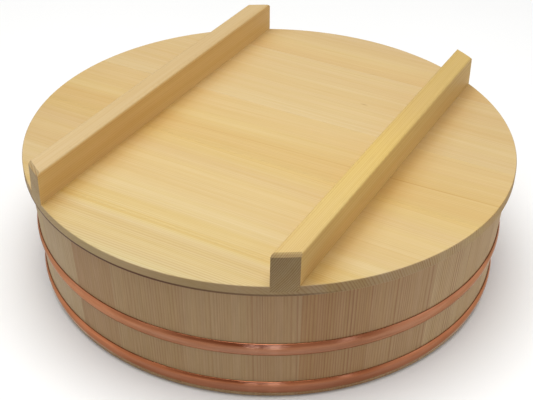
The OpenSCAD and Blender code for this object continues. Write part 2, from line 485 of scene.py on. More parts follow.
# painted shade at the front left of the lower hoop's lower half, by degrees round the tub
lower_hoop_painted_shade = [(-128, 0.5, 0.36, 0.3), (-120, 0.76, 0.7, 0.68), (-110, 1, 1, 1)]
hoops = []
for name, seed in (("hoop_upper", 41), ("hoop_lower", 51)):
    middle = hoop_heights[name]
    piece = hoop_mesh(name + "_copper", middle, seed)
    x, y, z = places(piece).T
    angle = np.arctan2(y, x)
    store(piece, "strip", np.cos(angle), np.sin(angle), (z - middle) / hoop_h)
    t = (z - middle) / strip_half
    tones = read_off(t, hoop_painted_light[name])
    if name == "hoop_lower":
        tones *= np.where(t[:, None] < 0.3, read_off(np.degrees(angle), lower_hoop_painted_shade), 1)
    store(piece, "shade", *tones.T)
    hoops.append(piece)
print("hoops", [len(hoop.data.polygons) for hoop in hoops])


# %% [markdown]
# ## Boards of a round panel
#
# The lid and the bottom are round panels sawn from five boards. A board's plan is a function of two
# parameters, u across the board and v along it. Between two seams, y goes from seam to seam with u and
# x to the circle with v. The outer boards are segments, where v runs along the seam and u from
# the seam out to the circle. The plan is carried from the underside to the top through a quarter circle
# at each edge, which rounds the panel's rim and eases the seams.

# %% Plan of one board
def board_plan(u, v, low, high, radius):
    """Plan of a board between two lines of y inside a circle. An infinite one means the circle."""
    if math.isinf(low) or math.isinf(high):
        seam, way = (high, -1) if math.isinf(low) else (low, 1)
        x = np.sqrt(radius ** 2 - seam ** 2) * (2 * v - 1)
        return x, seam + (way * np.sqrt(np.clip(radius ** 2 - x ** 2, 0, None)) - seam) * u
    y = low + (high - low) * u
    return np.sqrt(radius ** 2 - y ** 2) * (2 * v - 1), y + 0 * v


def board_mesh(name, low, high, radius, under, top, rounding):
    """A board of a round panel. Station j is the plan drawn in by rounding (1 - cos a) at the rim and
    by the arris at the seams, at the height of a quarter circle: under + r (1 - sin a), then top."""
    # v has its first and last steps close together, where the rim's rounding bends the board
    close = np.array([0, 0.25, 0.6, 1.2, 2.4, 5]) * MM / (2 * radius)
    v = np.concatenate([close, np.linspace(0, 1, 40)[1:-1], 1 - close[::-1]])
    u = np.linspace(0, 1, 49 if math.isfinite(high - low) else 41)
    u, v = np.meshgrid(u, v, indexing="ij")
    bend = np.radians([90, 67, 45, 22, 0, 0, 22, 45, 67, 90])
    sheets = []
    for station, a in enumerate(bend):
        draw = rounding * (1 - math.cos(a))
        ease = arris * (1 - math.cos(a))
        x, y = board_plan(u, v, low + ease, high - ease, radius - draw)
        near = np.clip(rounding - (radius - np.hypot(x, y)), 0, rounding)
        drop = np.maximum(rounding - np.sqrt(rounding ** 2 - near ** 2), arris * (1 - math.sin(a)))
        sheets.append(np.stack([x, y, under + drop if station < len(bend) / 2 else top - drop], -1))
    return carry(name, np.stack(sheets))


board_peg_pitch = 85 * MM


def board_bores(seams, z):
    """Three bores across each seam of a board."""
    return [peg_bore((x, seam, z), (0, 1, 0)) for seam in seams if math.isfinite(seam)
            for x in (-board_peg_pitch, 0, board_peg_pitch)]


def board_edges(seams, number):
    """The lower and upper seam of a board, infinite where it ends on the circle."""
    return [-math.inf, *seams, math.inf][number - 1:number + 1]


# %% [markdown]
# ## The bottom
#
# Five boards, thicker than the lid's, held in the croze all round. They show from above when the lid
# is off, and from below. The photograph doesn't show them, so their shades are drawn by chance from a
# narrow range.

# %% Make the bottom boards
bottom_round = 0.8 * MM
bottom_range = ([-0.2, -0.1, -0.2, 0.4, -15, 0.12], [0.4, 0.2, 0.2, 0.7, 15, 0.30])
bottoms = []
for number in range(1, 6):
    low, high = board_edges(bottom_seams, number)
    piece = board_mesh("bottom_board_%d_wood" % number, low, high, croze_r - fit, foot_h, bottom_top,
                       bottom_round)
    cut_out(piece, board_bores((low, high), (foot_h + bottom_top) / 2))
    *measures, tilt, heart = chance.uniform(*bottom_range)
    x, y, z = places(piece).T
    middle = np.clip([low, high], -croze_r, croze_r).mean()
    lay_in_log(piece, x, y - middle, z - foot_h, heart, tilt, 30 + number)
    tint(piece, measures)
    bottoms.append(piece)
print("bottom boards", len(bottoms))

# %% [markdown]
# ## The lid boards
#
# The same function makes the lid's boards, thinner and with a rounded rim. The two grooves for the
# battens are sliding dovetails, wider at their foot than at their neck, and their tool is a four-sided
# section carried along Y. The lid is what the photograph shows best, so its colours are laid on in
# bands along the boards. The rim and the parts beyond the battens get painted light and shade on top:
# the rim darker at the front and lighter at the right, the lid beyond the battens darker, most towards
# the left edge.

# %% Shades of the lid
# place across the lid in lid radii, then straw, umber, rose and ring strength, board by board
lid_bands = [
    [(-1, -0.9, 0.3, -1.3, 0.48), (-0.9, -0.1, 0.28, -0.45, 0.48), (-0.82, -0.1, 0.34, -0.45, 0.48),
     (-0.79, -0.5, 0.02, -0.8, 0.32), (-0.775, -0.2, -0.1, -0.8, 0.32), (-0.77, 0.2, 0.05, -0.55, 0.32),
     (-0.755, -0.1, -0.05, -0.6, 0.32)],
    [(-0.755, 0.2, 0, -0.5, 0.32), (-0.735, 0.1, 0.06, -0.4, 0.32), (-0.69, 0.45, 0.16, -0.2, 0.32),
     (-0.65, -0.2, 0.12, -0.36, 0.22), (-0.58, -0.1, 0.09, -0.28, 0.22), (-0.4, 0.1, 0, -0.2, 0.22),
     (-0.32, 0.1, 0.2, 0.02, 0.22), (-0.26, 0.35, 0.05, -0.15, 0.22), (-0.21, 0.9, 0.09, 0.08, 0.22)],
    [(-0.205, 0.6, 0.13, -0.12, 0.22), (-0.15, 0.65, 0.12, 0.2, 0.22), (-0.1, 0.8, 0.2, 0.3, 0.22),
     (-0.05, 0.5, 0.08, 0, 0.22), (0.02, 0.4, 0.13, 0, 0.22), (0.1, 0.1, 0.07, 0, 0.22),
     (0.16, 0.3, 0.23, 0.1, 0.22), (0.19, 0.1, 0.15, -0.1, 0.22)],
    [(0.19, -0.5, 0.1, -0.4, 0.2), (0.3, -0.2, 0.15, -0.3, 0.22), (0.37, -0.2, 0.2, -0.2, 0.22),
     (0.42, 0.1, 0.35, 0.1, 0.22), (0.5, -0.2, 0.25, -0.2, 0.22), (0.58, -0.3, 0.15, -0.3, 0.22),
     (0.68, -0.3, 0.25, -0.3, 0.22)],
    [(0.68, 0.2, 0.35, 0.2, 0.26), (0.76, 0.2, 0.35, 0.2, 0.26), (0.82, 0, 0.33, -0.1, 0.22),
     (1, -0.45, 0.58, -0.15, 0.22)]]
# painted light and shade on the rim, by degrees round the tub: darker at the front and lighter at the right,
# with weaker rings
rim_painted_light = [(-130, 0, 0.13, 0.1, -0.4), (-116, 0, -0.02, 0.1, -0.4), (-108, 0.2, -0.1, 0.2, -0.4),
             (-100, 0.25, 0.15, 0.35, -0.4), (-92, 0.35, 0.15, 0.9, -0.4), (-84, 0.35, 0.43, 0.9, -0.4),
             (-76, 0.2, 0.7, 0.4, -0.4), (-68, -0.5, 0.57, 0.1, -0.4), (-60, -0.6, 0.88, -0.1, -0.32),
             (-52, -0.9, 0.88, -0.2, -0.27), (-44, -0.7, 0.82, -0.25, -0.27),
             (-36, -1, 0.44, -0.3, -0.27), (-28, -0.9, 0.34, -0.3, -0.22), (-20, -0.85, -0.1, -0.4, 0),
             (-12, -0.7, -0.3, -0.4, 0), (-4, 0.2, -0.6, 0, 0), (10, 0, 0, 0, 0)]
# painted shade beyond the battens: the lid is darker there, by x, most towards the left edge, and how much of
# that shows by place across the lid
lid_sides_painted_shade = [(-240 * MM, -0.1, 0.64, 0, -0.1), (-200 * MM, -0.2, 0.46, 0, -0.1),
             (-136 * MM, -0.2, 0.3, 0, -0.1), (-120 * MM, 0, 0, 0, 0), (120 * MM, 0, 0, 0, 0),
             (136 * MM, 0, 0.13, 0, 0)]
left_share = [(-0.5, 1.05), (0.3, 0.4)]
right_share = [(-0.3, 1), (0.1, 1.6), (0.7, 2.5)]


def lid_shades(x, y, bands):
    """Measures for the vertices of a lid board: its bands, painted shade beyond the battens and, near the
    lid's radius, painted light and shade on the rim.
    """
    across = y / lid_r
    share = np.where(x[:, None] < 0, read_off(across, left_share), read_off(across, right_share))
    on_rim = np.clip((np.hypot(x, y) - lid_r) / (lid_round / 4) + 2, 0, 1)[:, None]
    rim = read_off(np.degrees(np.arctan2(y, x)), rim_painted_light) * on_rim
    return read_off(across, bands) + read_off(x, lid_sides_painted_shade) * share + rim


# %% Make the lid boards
def dovetail(x_middle):
    """The dovetail's section, wider at its foot, carried along Y past both rims."""
    height = np.array([-tail_depth - fit, 0, 1 * MM])[:, None] * np.ones(2)
    neck = tail_neck + fit
    half = np.array([tail_foot + fit, neck, neck - 1 * MM * (tail_foot - tail_neck) / tail_depth])
    x = x_middle + half[:, None] * np.array([-1, 1])
    ends = np.array([-1, 1])[:, None, None] * (lid_r + 5 * MM)
    return carry("tool", np.stack(np.broadcast_arrays(x, ends, lid_top + height), -1))


# each board's distance from the heart, its tilt in degrees and how far its grain runs off its length
lid_cuts = [(0.16, 28, 0), (0.21, 15, 0.006), (0.18, 9, -0.03), (0.26, -16, 0.004), (0.15, 14, -0.01)]
lids = []
for number in range(1, 6):
    low, high = board_edges(lid_seams, number)
    piece = board_mesh("lid_board_%d_wood" % number, low, high, lid_r, lid_bottom, lid_top, lid_round)
    under_tails = (lid_bottom + lid_top - tail_depth) / 2
    cut_out(piece, board_bores((low, high), under_tails) + [dovetail(-batten_x), dovetail(batten_x)])
    heart, tilt, slope = lid_cuts[number - 1]
    x, y, z = places(piece).T
    middle = np.clip([low, high], -lid_r, lid_r).mean()
    lay_in_log(piece, x, y - middle + slope * x, z - lid_bottom, heart, tilt, 50 + number)
    tint(piece, lid_shades(x, y, lid_bands[number - 1]))
    lids.append(piece)
print("lid boards", [len(lid.data.polygons) for lid in lids])

# %% [markdown]
# ## The battens
#
# A batten's section has the dovetail below and eased edges above. It is carried along Y, and its ends
# follow the lid's edge: each point of the section stops where it meets a circle. The circle has the
# lid's radius at the foot, a little less up to the end bevel, and shrinks at 45 degrees above it.

# %% Make the battens
def batten_mesh(name, x_middle):
    """Section grid (height, width) carried along Y from circle to circle: y = +-sqrt(R(z)^2 - x^2)."""
    face_h = batten_h - end_bevel
    # how far down from the top the long edges' rounding has its points, and how far in
    below_top = np.array([1.6, 0.9, 0.3, 0]) * MM
    drawn = np.array([0, 0.35, 0.95, 1.6]) * MM
    level_z = np.array([-tail_depth, 0, 0, 9 * MM, 18 * MM, face_h, *(batten_h - below_top)])
    half = np.array([tail_foot, tail_neck, *[batten_w / 2] * 4, *(batten_w / 2 - drawn)])
    x = x_middle + half[:, None] * np.linspace(-1, 1, 9)
    z = level_z[:, None] + 0 * x
    reach = lid_r - end_lean * np.clip(z / face_h, 0, 1) - np.clip(z - face_h, 0, None)
    y_end = np.sqrt(reach ** 2 - x ** 2)
    along = np.linspace(-1, 1, 41)[:, None, None]
    return carry(name, np.stack(np.broadcast_arrays(x, along * y_end, lid_top + z), -1))


# distance from the heart, tilt and slope of the left and the right batten
batten_cuts = [(0.09, 70, 0.004), (0.14, -36, 0)]
# shades of the sides and of the top, by place along the batten in lid radii: the wood's tone with painted
# light and shade; the tops darken towards the back
side_shades = [[(-0.9, 0.5, -0.12, 0.4, 0.38), (-0.5, 0.5, -0.16, 0.45, 0.38), (-0.1, 0.5, -0.3, 0.35, 0.38),
                (0.3, 0.45, -0.33, 0.35, 0.38)],
               [(-0.9, 0.35, 0.85, -0.1, 0.45), (-0.5, 0.5, -0.38, 0, 0.45), (-0.1, 0.5, -0.5, -0.15, 0.45),
                (0.3, 0.35, -0.25, -0.2, 0.45), (0.6, 0.35, 0.05, -0.2, 0.45)]]
top_shades = [[(-0.9, 0, -0.02, 0.05, 0.05), (-0.5, 0.2, 0.06, 0.1, 0.05), (-0.1, 0.3, 0.14, 0.2, 0.05),
               (0.3, 0.3, 0.24, 0.25, 0.05)],
              [(-0.9, 1.1, -0.3, 0.35, 0.48), (-0.5, 1.7, -0.5, 0.25, 0.48), (-0.1, 2.4, -0.5, 0.5, 0.45),
               (0.3, 1.7, 0.05, 0.4, 0.4), (0.6, 1.7, 0.2, 0.2, 0.4)]]
# and painted light on the sides, by height in batten heights: they are palest at the foot and darker near the
# top
height_shades = [[(0, 0, -0.18, 0, 0), (0.28, 0, -0.03, 0, 0), (0.56, 0, 0, 0, 0), (0.9, 0, 0.1, 0, 0)],
                 [(0, 0.3, -0.45, 0.5, 0), (0.28, 0.3, -0.2, 0.5, 0), (0.56, 0, -0.05, 0, 0),
                  (0.9, 0, 0.12, 0, 0)]]
# the share of the height from which a vertex belongs to the top
top_from = 0.96
battens = []
for number, (name, middle) in enumerate([("batten_left", -batten_x), ("batten_right", batten_x)]):
    piece = batten_mesh(name + "_wood", middle)
    heart, tilt, slope = batten_cuts[number]
    x, y, z = places(piece).T
    lay_in_log(piece, y, x - middle + slope * y, z - lid_top, heart, tilt, 70 + number)
    along = y / lid_r
    height = (z - lid_top) / batten_h
    sides = read_off(along, side_shades[number]) + read_off(height, height_shades[number])
    tint(piece, np.where(height[:, None] > top_from, read_off(along, top_shades[number]), sides))
    battens.append(piece)
print("battens", [len(batten.data.polygons) for batten in battens])

# %% [markdown]
# ## A small hand for shader nodes
#
# A material is a graph. `put` adds a node beside one that is there and wires or sets its inputs, and the
# other helpers name what a node is for, so that a recipe reads from top to bottom like a list of steps.

# %% Helpers for node graphs
def fill(node, inputs):
    """Fills a node's inputs with links or plain values."""
    for key, value in dict(inputs).items():
        if isinstance(value, bpy.types.NodeSocket):
            node.id_data.links.new(value, node.inputs[key])
        else:
            node.inputs[key].default_value = value
    return node


def put(beside, kind, inputs=(), **settings):
    """Adds a node to the graph that a node or socket is in, sets its properties and fills its inputs."""
    node = beside.id_data.nodes.new("ShaderNode" + kind)
    for key, value in settings.items():
        setattr(node, key, value)
    return fill(node, inputs)


def reckon(operation, *values):
    """A Math node's result."""
    return put(values[0], "Math", enumerate(values), operation=operation).outputs[0]


def by_parts(operation, first, second):
    """Two vectors added or multiplied part by part."""
    return put(first, "VectorMath", {0: first, 1: second}, operation=operation).outputs[0]


def length_of(vector):
    """A vector's length."""
    return put(vector, "VectorMath", {0: vector}, operation="LENGTH").outputs["Value"]


def parts_of(vector):
    """A vector's three numbers."""
    return put(vector, "SeparateXYZ", {0: vector}).outputs


def mark(beside, name, output="Vector"):
    """An attribute that was stored on the mesh."""
    return put(beside, "Attribute", attribute_name=name).outputs[output]


def stretched(vector, scale, detail=2, rough=0.5):
    """Soft noise in a space stretched by three factors, one for each direction of the log."""
    place = by_parts("MULTIPLY", vector, scale)
    settings = {"Vector": place, "Scale": 1, "Detail": detail, "Roughness": rough}
    return put(place, "TexNoise", settings).outputs[0]


def wave_over(value, scale):
    """Soft noise over a single number."""
    return put(value, "TexNoise", {"W": value, "Scale": scale, "Detail": 1}, noise_dimensions="1D").outputs[0]


def remap(value, low, high, to_low, to_high, smooth=False):
    """A Map Range node's result."""
    return put(value, "MapRange", {0: value, 1: low, 2: high, 3: to_low, 4: to_high},
               interpolation_type="SMOOTHSTEP" if smooth else "LINEAR").outputs[0]


def ramp_of(value, *stops):
    """A Color Ramp through (place, grey) stops: the places are brought to 0 to 1, and so is the value."""
    low = stops[0][0]
    high = stops[-1][0]
    node = put(value, "ValToRGB", {0: remap(value, low, high, 0, 1)})
    for place, _ in stops[1:-1]:
        node.color_ramp.elements.new((place - low) / (high - low))
    for stop, (_, grey) in zip(node.color_ramp.elements, stops):
        stop.color = (grey, grey, grey, 1)
    return node.outputs[0]


# %% Helpers for colours and materials
def blended(amount, first, second, kind="MIX"):
    """A colour Mix node's result. At least one of the values is a socket."""
    beside = [value for value in (amount, first, second) if isinstance(value, bpy.types.NodeSocket)][0]
    return put(beside, "Mix", {0: amount, 6: first, 7: second}, data_type="RGBA", blend_type=kind).outputs[2]


def dyed(colour, dye, amount=1):
    """The colour times the dye, by an amount."""
    return blended(amount, colour, dye, "MULTIPLY")


def new_material(name):
    """A material and its shader."""
    material = bpy.data.materials.new(name)
    material.use_nodes = True
    return material, material.node_tree.nodes["Principled BSDF"]


def give(piece, material):
    """Puts a material in the place of any other on a piece."""
    piece.data.materials.clear()
    piece.data.materials.append(material)


def linear(*srgb):
    """An sRGB colour from 0 to 255 as linear light with full alpha: c/12.92 near black, else a power."""
    c = np.array(srgb) / 255
    return (*np.where(c < 0.04045, c / 12.92, ((c + 0.055) / 1.055) ** 2.4), 1)


# %% [markdown]
# ## Cypress wood
#
# The tub is planed, unfinished cypress: pale straw, with fine rings two or three millimetres apart. Each
# ring goes from soft pale early wood to a thin darker line of late wood and then starts again, so the
# share of the way through a ring, the fractional part of radius / ring width, drives the colour. Some
# years are stronger or yellower than others, which is noise over the ring's number. Noise stretched
# along the trunk bends the rings and gives fibres, which are tinted on the lid and battens and grey on
# the darker staves. A surface that cuts across the grain drinks light: where the normal points along
# the trunk, the wood is darker and greyer. The lid also has marks of its own, as a last step.
# Faces whose normal is level get painted light or shade of their own: a darker edge on the lid, lighter and
# yellower sides on the battens.

# %% The wood recipe
def rings_of(log, strength, end, ring, wobble):
    """The late wood's line, its line times its force, and the number of the ring. Radius = distance from
    the heart + wobble; count = radius / ring width + a slow wave; share = its fractional part."""
    bend = stretched(log, (3, 26, 26))
    radius = length_of(by_parts("MULTIPLY", log, (0, 1, 1)))
    radius = reckon("MULTIPLY_ADD", bend, wobble, radius)
    widths = wave_over(radius, 45)
    count = reckon("MULTIPLY_ADD", widths, 3, reckon("DIVIDE", radius, ring))
    share = reckon("FRACT", count)
    line = ramp_of(share, (0, 0.45), (0.1, 0.02), (0.5, 0.10), (0.75, 0.6), (0.9, 1), (1, 0.45))
    one_year = put(count, "TexWhiteNoise", {"W": reckon("FLOOR", count)}, noise_dimensions="1D").outputs[0]
    few_years = wave_over(count, 0.13)
    force = reckon("MULTIPLY", remap(one_year, 0, 1, 0.7, 1.05), remap(few_years, 0.3, 0.7, 0.6, 1.2))
    force = reckon("MULTIPLY", force, reckon("MULTIPLY_ADD", end, 1, strength))
    return line, reckon("MULTIPLY", line, force), count


def cypress(name, trunk, pale, late, ring, end_tint=(0.66, 0.60, 0.53, 1), level_face_painted_light=(1, 1, 1, 1),
            light_fibre=(1.025, 1.04, 1.08, 1), dark_fibre=(0.975, 0.955, 0.9, 1), finish=None):
    """Wood seen in log space: rings, good years, bands, fibres, pores and darker end grain, with painted
    light or shade on faces whose normal is level. A finish is a last step of its own for the colour."""
    material, shader = new_material(name)
    log = mark(shader, "log")
    normal = put(shader, "TexCoord").outputs["Normal"]
    along_trunk = put(normal, "VectorMath", {0: normal, 1: trunk}, operation="DOT_PRODUCT").outputs["Value"]
    end = remap(reckon("ABSOLUTE", along_trunk), 0.25, 0.9, 0, 1, smooth=True)
    upward = reckon("ABSOLUTE", parts_of(normal)["Z"])
    side = remap(upward, 0.2, 0.8, 1, 0, smooth=True)
    line, rings, count = rings_of(log, mark(shader, "ring_strength", "Fac"), end, ring, 2 * MM)

    bands = stretched(log, (0.9, 34, 34), detail=1)
    fibres = stretched(log, (9, 620, 620), detail=3, rough=0.6)
    pores = stretched(log, (45, 2600, 2600), detail=1)
    good_years = blended(remap(wave_over(count, 0.3), 0.35, 0.65, 0, 1),
                         (1.01, 1.015, 1.045, 1), (0.99, 0.985, 0.945, 1))

    colour = blended(rings, pale, late)
    colour = dyed(colour, good_years)
    colour = dyed(colour, linear(226, 189, 143), remap(bands, 0.35, 0.7, 0, 0.2))
    colour = by_parts("MULTIPLY", colour, mark(shader, "shade"))
    colour = dyed(colour, blended(remap(fibres, 0.3, 0.7, 0, 1), light_fibre, dark_fibre))
    colour = dyed(colour, (0.95, 0.95, 0.95, 1), remap(pores, 0.55, 0.75, 0, 1))
    # faces whose normal is level get painted light or shade; faces across the grain the darker end tint
    colour = dyed(colour, blended(end, blended(side, (1, 1, 1, 1), level_face_painted_light), end_tint))
    if finish is not None:
        colour = finish(colour)
    height = reckon("MULTIPLY_ADD", line, 0.35, fibres)
    bump = put(height, "Bump", {"Strength": 0.25, "Distance": 0.3 * MM, "Height": height}).outputs[0]
    fill(shader, {"Base Color": colour, "Roughness": remap(fibres, 0.3, 0.7, 0.5, 0.62), "Normal": bump,
                  "Specular IOR Level": 0.3})
    return material


# %% [markdown]
# ## Marks on the lid
#
# Marks are laid over the lid's wood in the lid's own space. A painted shadow darkens the colour on the
# right of each batten, most at its foot. One year's line is darker and a few are golden, both wavering
# a little across the boards, there is a resin fleck, and a painted shadow lies along the lid's lower
# edge at the front left.

# %% The lid's marks and painted shadows
# colour of the painted shadow on the right of each batten
batten_foot_shadow_colour = (0.72, 0.6, 0.4, 1)
dark_year_slope = 0.0414
dark_year_y = -21.6 * MM
golden_years_y = -183.6 * MM
fleck_place = np.array([58.8, 100.4, 0]) * MM
# top of the painted shadow along the lid's lower edge
under_rim_shadow_top = lid_bottom + 3 * MM


def painted_shadow_beside_battens(colour, x, y, upward):
    """Painted shadow on the right of each batten. The distance from a batten's foot is x less the foot's x,
    modulo the battens' spacing. The painted shadow fades with it, and a little towards the back; only upward
    faces take it."""
    away = reckon("FLOORED_MODULO", reckon("ADD", x, batten_x - batten_w / 2), 2 * batten_x)
    away = reckon("DIVIDE", away, MM)
    left = ramp_of(away, (0, 0.92), (2, 1), (3, 0.94), (4, 0.82), (8, 0.71), (12, 0.65), (16, 0.43),
                   (20, 0.28), (28, 0.08), (36, 0))
    right = ramp_of(away, (0, 0.8), (4, 0.82), (8, 0.82), (12, 0.7), (16, 0.51), (20, 0.35),
                    (28, 0.1), (36, 0))
    deep = blended(reckon("GREATER_THAN", x, 0), left, right)
    deep = reckon("MULTIPLY", deep, remap(y, -60 * MM, 200 * MM, 1, 0.64))
    deep = reckon("MULTIPLY", deep, remap(upward, 0.5, 0.9, 0, 1))
    return dyed(colour, batten_foot_shadow_colour, deep)


def lid_marks_and_shadows(colour):
    """A year's line is the distance from a sloping line of y; the fleck is a distance in a stretched space;
    the painted shadow along the lower edge needs three things at once: front left, on the rim, low down."""
    where = put(colour, "TexCoord").outputs["Object"]
    x, y, z = parts_of(where)
    colour = painted_shadow_beside_battens(colour, x, y, parts_of(put(colour, "TexCoord").outputs["Normal"])["Z"])

    wavy = reckon("MULTIPLY_ADD", stretched(where, (12, 30, 30)), 1.5 * MM, y)
    off_line = reckon("MULTIPLY_ADD", x, -dark_year_slope, reckon("SUBTRACT", wavy, dark_year_y))
    off_line = reckon("ABSOLUTE", off_line)
    along_line = ramp_of(x, (-125 * MM, 0), (-100 * MM, 0.5), (60 * MM, 0.4), (130 * MM, 1),
                         (245 * MM, 0.8))
    dark_year = reckon("MULTIPLY", remap(off_line, 0.3 * MM, 1 * MM, 0.8, 0), along_line)
    colour = dyed(colour, (0.84, 0.72, 0.52, 1), dark_year)
    off_golden = reckon("ABSOLUTE", reckon("SUBTRACT", wavy, golden_years_y))
    golden_years = ramp_of(off_golden, (0, 0.65), (1.4 * MM, 0.65), (2.7 * MM, 1), (4.6 * MM, 0))
    colour = dyed(colour, (0.955, 0.915, 0.775, 1), golden_years)

    from_fleck = by_parts("MULTIPLY", by_parts("ADD", where, -fleck_place), (200, 900, 0))
    fleck = remap(length_of(from_fleck), 0.3, 1, 0.7, 0)
    colour = dyed(colour, (0.62, 0.5, 0.38, 1), fleck)

    turned = reckon("ARCTAN2", y, x)
    front_left = ramp_of(turned, (-2.62, 0), (-2.4, 1), (-1.5, 1), (-1.2, 0.7), (-0.95, 0.5), (-0.8, 0))
    from_middle = length_of(by_parts("MULTIPLY", where, (1, 1, 0)))
    on_rim = remap(from_middle, lid_r - 3 * MM, lid_r - 2 * MM, 0, 1)
    low_down = remap(z, under_rim_shadow_top - 0.8 * MM, under_rim_shadow_top, 1, 0)
    under_rim_shadow = reckon("MULTIPLY", reckon("MULTIPLY", front_left, on_rim), low_down)
    # painted shadow: a dark brown line along the lid's lower edge at the front left
    return dyed(colour, (0.26, 0.12, 0.06, 1), under_rim_shadow)


# %% Woods of the lid, battens, staves and bottom
along_x = (1, 0, 0)
along_y = (0, 1, 0)
along_z = (0, 0, 1)
# the lid's level faces, its round edge, are painted darker as shade
lid_wood = cypress("lid_cypress", along_x, linear(214, 188, 136), linear(182, 142, 86), 2.1 * MM,
                   level_face_painted_light=(0.62, 0.58, 0.55, 1), finish=lid_marks_and_shadows)
# two copies of one wood: on both, level-facing sides are painted lighter and yellower, as light from the lid;
# beyond the end grain's own darkness, the left end is painted lighter and the right one darker
batten_woods = [cypress(name, along_y, linear(203, 178, 132), linear(176, 134, 82), ring,
                        end_tint=end, level_face_painted_light=(1.1, 1.02, 0.80, 1))
                for name, ring, end in (("left_batten_cypress", 2.1 * MM, (0.66, 0.70, 0.71, 1)),
                                        ("right_batten_cypress", 1.7 * MM, (0.55, 0.57, 0.61, 1)))]
# the staves' colours are darker than the lid's and the bottom's: partly their own greyer wood, partly painted
# shade for the wall, which faces sideways
stave_wood = cypress("stave_cypress", along_z, linear(173, 144, 107), linear(141, 100, 67), 2.7 * MM,
                     light_fibre=(1.06, 1.06, 1.06, 1), dark_fibre=(0.92, 0.92, 0.92, 1))
bottom_wood = cypress("bottom_cypress", along_x, linear(230, 204, 152), linear(200, 152, 98), 2.6 * MM)
print("woods", [wood.name for wood in (lid_wood, *batten_woods, stave_wood, bottom_wood)])

# %% [markdown]
# ## Copper
#
# The hoops are bare copper that has been handled: pink where it was rubbed, browner where it has
# toned, with fine lines along the strip from drawing it. The strip attribute goes round with the hoop,
# so the lines follow it. The lines also stretch each reflection across the strip, which is what
# anisotropic gloss does.

# %% The copper recipe
def copper_strip(name):
    """Metal with lines along the strip, soft patches of tone, and rougher patches."""
    material, shader = new_material(name)
    strip = mark(shader, "strip")
    lines = stretched(strip, (3, 3, 90), detail=3, rough=0.6)
    patches = stretched(strip, (5, 5, 2.5), detail=4, rough=0.6)
    toned = remap(patches, 0.35, 0.65, 0, 1, smooth=True)
    colour = blended(toned, linear(190, 136, 106), linear(176, 120, 89))
    colour = blended(remap(lines, 0.45, 0.75, 0, 0.5), colour, linear(146, 96, 73))
    # the shade attribute lays the painted light and shade across the strips
    colour = by_parts("MULTIPLY", colour, mark(shader, "shade"))
    bump = put(lines, "Bump", {"Strength": 0.15, "Distance": 0.2 * MM, "Height": lines}).outputs[0]
    tangent = put(shader, "Tangent", direction_type="RADIAL", axis="Z").outputs[0]
    fill(shader, {"Base Color": colour, "Roughness": remap(patches, 0.35, 0.7, 0.1, 0.14), "Normal": bump,
                  "Tangent": tangent, "Metallic": 1, "Specular Tint": (0.8, 0.62, 0.5, 1), "Anisotropic": 1,
                  "Anisotropic Rotation": 0.25})
    return material


copper = copper_strip("toned_copper")

# %% [markdown]
# ## Bamboo pegs
#
# The pegs lie out of sight in their bores and keep their CAD shape. Split bamboo is yellow-green and
# streaked lengthwise, and since the pegs point in all directions, an even fleck in object space does.

# %% The bamboo recipe
def split_bamboo(name):
    """Pale bamboo with darker flecks."""
    material, shader = new_material(name)
    flecks = stretched(put(shader, "TexCoord").outputs["Object"], (900, 900, 900), detail=3)
    colour = blended(remap(flecks, 0.4, 0.7, 0, 1), linear(222, 204, 150), linear(176, 148, 92))
    fill(shader, {"Base Color": colour, "Roughness": remap(flecks, 0.3, 0.7, 0.4, 0.6)})
    return material


bamboo = split_bamboo("split_bamboo")


# %% [markdown]
# ## Dress the frame
#
# Each mesh rides on its CAD body and stands for its CAD node, which is hidden. The pegs are CAD nodes
# that stay, and only get their material.

# %% Put the pieces on the frame
def dress(pieces, material, body):
    """Gives the pieces their material and body; a piece is named for the node it stands for, which is hidden.
    """
    for piece in pieces:
        give(piece, material)
        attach(piece, body)
        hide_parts(piece.name.rsplit("_", 1)[0])


dress(staves, stave_wood, "tub")
dress(hoops, copper, "tub")
dress(bottoms, bottom_wood, "tub")
dress(lids, lid_wood, "lid")
for batten, wood in zip(battens, batten_woods):
    dress([batten], wood, "lid")
for name in ("stave_pegs", "bottom_pegs", "lid_pegs"):
    give(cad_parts[name], bamboo)


# %% [markdown]
# ## The floor
#
# A pale floor takes the tub's soft shadow. It is a plain sheet, large enough to fill the picture, and
# its paint is a little cloudy.

# %% Lay the floor
def level_sheet(name, height):
    """A square sheet at a height: a grid of three by three points, eight metres wide."""
    x, y = np.meshgrid(np.linspace(-4, 4, 3), np.linspace(-4, 4, 3))
    return settle(name, np.stack([x, y, 0 * x + height], -1), faces_of_grid(np.arange(9).reshape(3, 3)))


floor = level_sheet("floor", 0)
floor_paint, shader = new_material("pale_floor")
cloud = stretched(put(shader, "TexCoord").outputs["Object"], (3, 3, 3))
fill(shader, {"Base Color": blended(cloud, linear(243, 243, 242), linear(247, 247, 246)), "Roughness": 0.8})
give(floor, floor_paint)

# %% [markdown]
# ## What the copper mirrors
#
# Metal shows what stands round it. In an all-white room the hoops would be an even pink, but in the
# photograph they mirror a white table that ends in front of the tub, and behind its edge a dark room
# with three narrow lit gaps. So the floor is hidden from mirrored light, and two glowing cards lie under
# it instead: a plain one all round, and one in front. The front card is laid out along the mirrored
# lines of sight: from each point of the upper hoop's face, the line from the camera is mirrored,
# d' = d - 2 (d . n) n, and followed to the card. Each streak of light can then be put where the
# photograph has it. Only mirrored light meets the cards, so they throw no shadow.

# %% Cards for the copper
card_z = -85 * MM
card_far = 1.5


